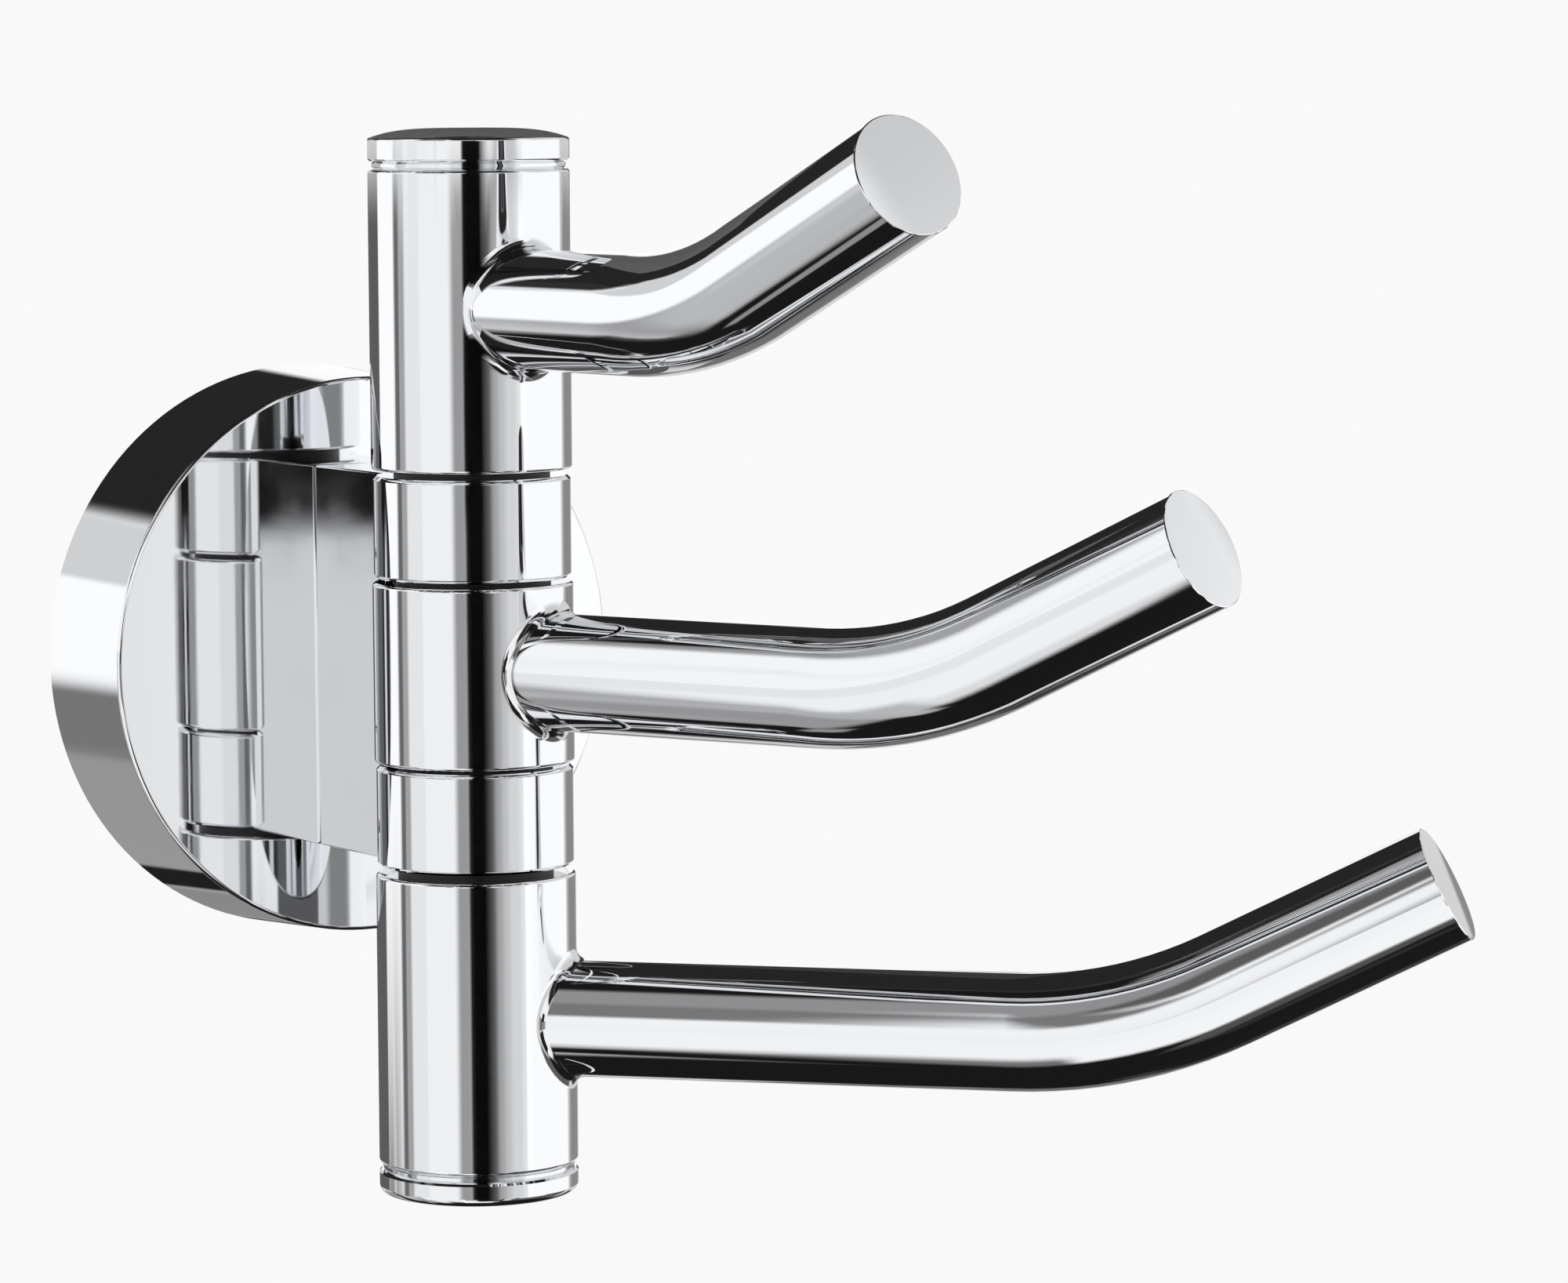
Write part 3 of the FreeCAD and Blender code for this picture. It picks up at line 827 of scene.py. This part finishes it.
@dataclass
class CapCrown:
    """The shallow dome on the upper cap, which the camera sees as a dark ellipse."""

    radius: float = 8.72
    rise: float = 0.8
    level: float = 47.8
    corners: int = 128
    rings: int = 24
    crease_deg: float = 35.0
    on_form_mm: float = 0.05

    def build(self, wardrobe: Wardrobe) -> bpy.types.Object:
        """Inset and lift a disc ring by ring into the dome, and dress it.

        Args:
            wardrobe: where the finish comes from.

        Returns:
            The crown.
        """
        bpy.ops.object.select_all(action="DESELECT")
        bpy.ops.mesh.primitive_circle_add(vertices=self.corners, radius=self.radius * MM,
                                          fill_type="NGON",
                                          location=(0.0, AXIS_Y * MM, self.level * MM))
        piece = bpy.context.object
        piece.name = "upper_cap_crown"
        bpy.ops.object.transform_apply(location=True, rotation=True, scale=True)
        bpy.ops.object.mode_set(mode="EDIT")
        bpy.ops.mesh.select_all(action="SELECT")
        dome = Crown(self.radius, self.rise, self.level)
        reach, height = self.radius, 0.0
        for ring in range(self.rings - 1, 0, -1):
            inner = self.radius * ring / self.rings
            top = dome.height(inner)
            bpy.ops.mesh.inset(thickness=(reach - inner) * MM, depth=0.0)
            bpy.ops.transform.translate(value=(0.0, 0.0, (top - height) * MM))
            reach, height = inner, top
        bpy.ops.mesh.poke()
        bpy.ops.mesh.select_all(action="SELECT")
        bpy.ops.mesh.quads_convert_to_tris()
        bpy.ops.mesh.normals_make_consistent(inside=False)
        bpy.ops.object.mode_set(mode="OBJECT")
        bpy.ops.object.shade_smooth()
        teach_normals(piece.data, (dome,), self.crease_deg, self.on_form_mm)
        piece.data.materials.append(wardrobe.get(Finish.CHROME))
        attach(piece, BODY_OF["upper_cap"])
        log.info("upper_cap_crown: %d faces", len(piece.data.polygons))
        return piece


@dataclass(frozen=True)
class Card:
    """A soft-edged bright or dark card far away, as polished metal sees it.

    Bearings are degrees to the right of the camera as seen from the fitting, heights are degrees
    above the horizon, and level is an sRGB grey from 0 to 255.
    """

    left: float
    right: float
    low: float
    high: float
    level: float
    side_edge: float = 3.0
    end_edge: float = 4.0


@dataclass
class Studio:
    """White room with soft light, dark and bright cards, a pale floor and the camera.

    Places and sizes are in mm and angles in degrees, and the camera's focal length and centre are
    in pixels of the photograph.
    """

    camera_place: tuple[float, float, float] = (-258.97, -479.02, 53.07)
    yaw: float = 32.912
    pitch: float = -6.251
    roll: float = -0.312
    focal_px: float = 7370.7
    centre_px: tuple[float, float] = (-33.1, 85.6)
    sensor_mm: float = 36.0
    bearing: float = -120.1
    floor_level: float = -120.0
    floor_size: float = 60000.0
    clip_m: tuple[float, float] = (0.01, 100.0)
    ambient: float = 0.775
    lamp_strength: float = 0.66
    lamp_angle: float = 70.0
    lamp_aim: tuple[float, float, float] = (0.35, 0.45, -1.0)
    backdrop: str = "F9F9F9"
    floor_colour: str = "FEFEFE"
    dark: float = 24.0
    card_strength: float = 1.14
    strip_spans: tuple[tuple[float, float], ...] = ((34.9, 47.5), (-46.9, 30.5))
    strip_reach: float = 9.6
    strip_edges: tuple[float, float, float, float] = (-0.8, -0.1, 0.8, 2.2)
    cap_flag_span: tuple[float, float] = (47.9, 62.0)
    cap_flag_width: float = 30.0
    cap_flag_reach: float = 10.5
    cards: tuple[Card, ...] = (
        # The room's pale walls, and its dark upper left and upper back
        Card(-400, 400, -40, 45, 205, 1, 10),
        Card(-129, -112, 25, 95, 46, 4, 3),
        Card(-190, -125.5, 12, 95, 36, 2, 4),
        Card(-113, -92, 23, 50, 160, 12, 6),
        Card(-102, -82, 44, 58, 146, 8, 8),
        # Right: the wide white card, its pale top, its dark foot and the greyer back wall
        Card(56, 128, -45, 40, 250, 8, 8),
        Card(78, 128, 12, 60, 228, 8, 14),
        Card(78, 128, 27, 60, 200, 8, 24),
        Card(140, 180, 5, 12, 190, 20, 8),
        Card(40, 128, -60, -19, 90, 8, 6),
        Card(128, 174, -35, 27, 206, 6, 6),
        Card(131, 166, -13.5, -1, 134, 12, 1),
        Card(140, 166, -60, -24, 58, 6, 6),
        Card(165, 190, -47, -26, 110, 4, 8),
        # Back: dark above the horizon, with a short white strip in the middle
        Card(163, 190, -1, 95, 56, 5, 8),
        Card(174.5, 190, -6, 17, 244, 3, 3),
        Card(-190, -172.5, -6, 17, 244, 3, 3),
        Card(-190, -165, -30, -13, 132, 3, 5),
        # Left: greys near the floor, and the white card with its pale end
        Card(-131, -113, -58, -22, 24, 2, 4),
        Card(-160, -125, -36, -20, 148, 3, 4),
        Card(-165, -157.5, -36, -25, 30, 1.5, 3),
        Card(-127, -116, -23, -10, 116, 3, 4),
        Card(-112, -72, -50, -2, 148, 10, 6),
        Card(-103, -72, -60, -44, 148, 5, 6),
        Card(-118, -104, -64, -58.5, 138, 4, 2),
        Card(-106, -94, -50, -2, 182, 8, 8),
        Card(-106, -76, -36, -2, 184, 8, 10),
        Card(-101, -76, -15, 2, 216, 4, 12),
        Card(-180, -128, -13.5, -1, 90, 3, 1),
        Card(-128, -95, -9, 24, 251, 3, 5),
        Card(-130, -117, 12, 23.5, 206, 2, 1.5),
        # Front left: the tall white card, which stands on the floor further right
        Card(-92, -70, -4, 50, 244, 12, 8),
        Card(-78, -70, -68, -30, 174, 4, 6),
        Card(-72, -34, -4, 24, 243, 5, 10),
        Card(-72, -62, -62, -3, 182, 4, 10),
        Card(-64, -47, -62, -3, 218, 4, 12),
        Card(-72, -34, -38, -3, 238, 5, 12),
        Card(-62, -34, -47, -3, 240, 5, 10),
        Card(-67, -30, 20, 60, 142, 4, 8),
        Card(-63, -36, 20, 36, 90, 8, 7),
        # Front: white to the floor, dark above and at the foot of its right end
        Card(-38, 24, -60, 0, 110, 6, 8),
        Card(-38, 28, -47, 26, 241, 6, 15),
        Card(-36, -28, 12, 36, 118, 4, 8),
        Card(-24, 20, -59, -30, 244, 4, 8),
        Card(-22, 66, 27, 46, 40, 8, 4),
        Card(-1, 30, -42, -15, 30, 5, 4),
        Card(4, 60, -72, -58, 78, 8, 8),
        Card(28, 160, -72, -44, 26, 8, 8),
        # The band at the height that upright walls mirror
        Card(-97, -88, -13.5, -1, 102, 5, 1),
        Card(-89, -80, -13.5, -1, 160, 4, 2),
        Card(-81, -58, -13.5, -1, 228, 5, 5),
        Card(-60, -22, -13.5, -1, 239, 4, 1),
        Card(-22, -7, -13.5, -1, 150, 8, 1),
        Card(-8, 12, -13.5, -1, 44, 5, 1),
        Card(9, 62, -13.5, -1, 98, 6, 1),
        Card(23, 62, -13.5, -1, 162, 8, 1),
        Card(31, 62, -13.5, -1, 190, 8, 1),
        Card(39, 62, -13.5, -1, 210, 8, 1),
        Card(53, 62, -13.5, -1, 226, 8, 1),
        Card(58, 66, -13.5, -1, 254, 3, 1),
        # Beside the camera, which the bracket mirrors by way of the rosette's face
        Card(-0.9, 3.9, -13.5, -4.35, 214, 1.4, 0.4),
        Card(-8, 12, -4.35, 8, 24, 4, 0.4),
    )

    def build(self) -> None:
        """Make the camera, the world, the lamp, the floor and the flags."""
        self.build_camera()
        self.build_world()
        self.build_lamp()
        self.build_floor()
        self.build_flags()
        bpy.context.scene.view_settings.view_transform = "Standard"
        log.info("studio: %d cards, %d strips", len(self.cards), len(self.strip_spans))

    def build_camera(self) -> None:
        """Place the camera where the photo was taken from."""
        data = bpy.data.cameras.new("camera")
        camera = bpy.data.objects.new("camera", data)
        bpy.context.collection.objects.link(camera)
        yaw, pitch, roll = (math.radians(a) for a in (self.yaw, self.pitch, self.roll))
        forward = Vector((math.sin(yaw) * math.cos(pitch), math.cos(yaw) * math.cos(pitch),
                          math.sin(pitch)))
        right = forward.cross(Vector((0, 0, 1))).normalized()
        up = right.cross(forward)
        level_right = right * math.cos(roll) + up * math.sin(roll)
        level_up = up * math.cos(roll) - right * math.sin(roll)
        turn = Matrix((level_right, level_up, -forward)).transposed()
        camera.matrix_world = Matrix.Translation(Vector(self.camera_place) * MM) @ turn.to_4x4()
        data.sensor_width = self.sensor_mm
        data.lens = self.focal_px * self.sensor_mm / PHOTO_WIDTH
        data.shift_x = -self.centre_px[0] / PHOTO_WIDTH
        data.shift_y = self.centre_px[1] / PHOTO_WIDTH
        data.clip_start, data.clip_end = self.clip_m
        bpy.context.scene.camera = camera

    def card_mask(self, tree: NodeTree, card: Card, bearing: Node, height: Node) -> NodeSocket:
        """Work out how much of a card each direction meets.

        Args:
            tree: the world's node tree.
            card: the card.
            bearing: the node that gives a direction's bearing in degrees.
            height: the node that gives its height in degrees.

        Returns:
            The socket that holds 1 on the card and 0 off it, with soft edges between.
        """
        mask = None
        for value, low, high, edge in ((bearing, card.left, card.right, card.side_edge),
                                       (height, card.low, card.high, card.end_edge)):
            for start, side in ((low, 1), (high, -1)):
                step = add_node(tree, "ShaderNodeMapRange", {"interpolation_type": "SMOOTHSTEP"},
                                Value=value.outputs[0], From_Min=start - side * edge / 2,
                                From_Max=start + side * edge / 2).outputs[0]
                mask = step if mask is None else add_node(
                    tree, "ShaderNodeMath", {"operation": "MULTIPLY"}, _0=mask, _1=step).outputs[0]
        return mask

    def build_world(self) -> None:
        """Make the room: white to the camera, soft white light, and cards for polished metal."""
        world = bpy.data.worlds.new("studio")
        bpy.context.scene.world = world
        world.use_nodes = True
        tree = world.node_tree
        tree.nodes.clear()
        place = add_node(tree, "ShaderNodeTexCoord")
        way = add_node(tree, "ShaderNodeMapping", {"vector_type": "VECTOR"},
                       Vector=place.outputs["Generated"],
                       Rotation=(0.0, 0.0, math.radians(-self.bearing)))
        split = add_node(tree, "ShaderNodeSeparateXYZ", Vector=way.outputs[0])
        around = add_node(tree, "ShaderNodeMath", {"operation": "ARCTAN2"}, _0=split.outputs[1],
                          _1=split.outputs[0])
        bearing = add_node(tree, "ShaderNodeMath", {"operation": "DEGREES"}, _0=around.outputs[0])
        rise = add_node(tree, "ShaderNodeMath", {"operation": "ARCSINE"}, _0=split.outputs[2])
        height = add_node(tree, "ShaderNodeMath", {"operation": "DEGREES"}, _0=rise.outputs[0])
        shade = linear_grey(self.dark)
        for card in self.cards:
            mask = self.card_mask(tree, card, bearing, height)
            shade = add_node(tree, "ShaderNodeMix", {"data_type": "FLOAT"}, _0=mask, _2=shade,
                             _3=linear_grey(card.level)).outputs[0]
        rays = add_node(tree, "ShaderNodeLightPath")
        glossy = add_node(tree, "ShaderNodeBackground", Color=shade, Strength=self.card_strength)
        soft = add_node(tree, "ShaderNodeBackground", Color=linear("FFFFFF"), Strength=self.ambient)
        white = add_node(tree, "ShaderNodeBackground", Color=linear(self.backdrop), Strength=1.0)
        first = add_node(tree, "ShaderNodeMixShader", _0=rays.outputs["Is Glossy Ray"],
                         _1=soft.outputs[0], _2=glossy.outputs[0])
        last = add_node(tree, "ShaderNodeMixShader", _0=rays.outputs["Is Camera Ray"],
                        _1=first.outputs[0], _2=white.outputs[0])
        add_node(tree, "ShaderNodeOutputWorld", Surface=last.outputs[0])

    def build_lamp(self) -> None:
        """Hang one wide soft lamp above, which gives the floor its shadow."""
        data = bpy.data.lights.new("soft_top_lamp", "SUN")
        data.angle = math.radians(self.lamp_angle)
        data.energy = self.lamp_strength
        lamp = bpy.data.objects.new("soft_top_lamp", data)
        lamp.rotation_euler = Vector(self.lamp_aim).to_track_quat("-Z", "Y").to_euler()
        lamp.visible_glossy = False
        bpy.context.collection.objects.link(lamp)

    def build_floor(self) -> None:
        """Lay the pale floor far below the fitting."""
        bpy.ops.object.select_all(action="DESELECT")
        bpy.ops.mesh.primitive_plane_add(size=self.floor_size * MM,
                                         location=(0.0, 0.0, self.floor_level * MM))
        floor = bpy.context.object
        floor.name = "floor"
        material, _, shader = new_material("pale_floor")
        shader.inputs["Base Color"].default_value = linear(self.floor_colour)
        shader.inputs["Roughness"].default_value = 1.0
        shader.inputs["Specular IOR Level"].default_value = 0.0
        floor.data.materials.append(material)
        floor.visible_glossy = False

    def build_flags(self) -> None:
        """Stand the dark strips in front of the column and the felt flag behind its cap."""
        net = BlackNet(self.strip_edges).build()
        for span in self.strip_spans:
            self.stand_flag("dark_strip", net, span, (self.strip_edges[0], self.strip_edges[-1]),
                            self.strip_reach)
        half = self.cap_flag_width / 2
        self.stand_flag("cap_flag", GreyFelt().build(), self.cap_flag_span, (-half, half),
                        -self.cap_flag_reach)

    def stand_flag(self, name: str, material: Material, span: tuple[float, float],
                   sides: tuple[float, float], ahead: float) -> None:
        """Stand an upright flag close to the column, which only polished metal sees.

        Args:
            name: the flag's name.
            material: what it is made of.
            span: its foot and top, in mm above the rosette's centre.
            sides: its left and right edges, in mm to the right of the column's centre line.
            ahead: how far in front of that line it stands; less than 0 is behind.
        """
        (low, high), (left, right) = span, sides
        bearing = math.radians(self.bearing)
        front = Vector((math.cos(bearing), math.sin(bearing), 0))
        across = Vector((-front.y, front.x, 0))
        bpy.ops.object.select_all(action="DESELECT")
        bpy.ops.mesh.primitive_plane_add(size=1.0)
        flag = bpy.context.object
        flag.name = name
        centre = Matrix.Translation(((left + right) / 2 * MM, (high - low) / 2 * MM, 0))
        flag.data.transform(centre @ Matrix.Diagonal(((right - left) * MM, (high - low) * MM, 1, 1)))
        foot = Vector((0, AXIS_Y, low)) + front * ahead
        turn = Matrix((across, Vector((0, 0, 1)), front)).transposed().to_4x4()
        flag.matrix_world = Matrix.Translation(foot * MM) @ turn
        flag.data.materials.append(material)
        for ray in ("camera", "diffuse", "shadow", "transmission"):
            setattr(flag, "visible_" + ray, False)


def main() -> None:
    """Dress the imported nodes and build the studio."""
    logging.basicConfig(level=logging.INFO, format="%(name)s: %(message)s")
    wardrobe = Wardrobe()
    wardrobe.dress_nodes()
    WallSide().build(wardrobe)
    Swivel("upper_hook", Arm.of_body("upper_swivel", straight=24.9, bend_deg=23.8), end_length=21.8,
           sleeve=(18.3, 45.0), up=1, cap_round=0.3).build(wardrobe)
    CapCrown().build(wardrobe)
    Swivel("middle_hook", Arm.of_body("middle_swivel", straight=36.4, bend_deg=25.8), end_length=21.5,
           sleeve=(-8.0, 8.2)).build(wardrobe)
    Swivel("lower_hook", Arm.of_body("lower_swivel", straight=49.2, bend_deg=26.7), end_length=21.7,
           sleeve=(-44.3, -18.0), up=-1, cap_round=0.8).build(wardrobe)
    Studio().build()


if __name__ == "__main__":
    main()
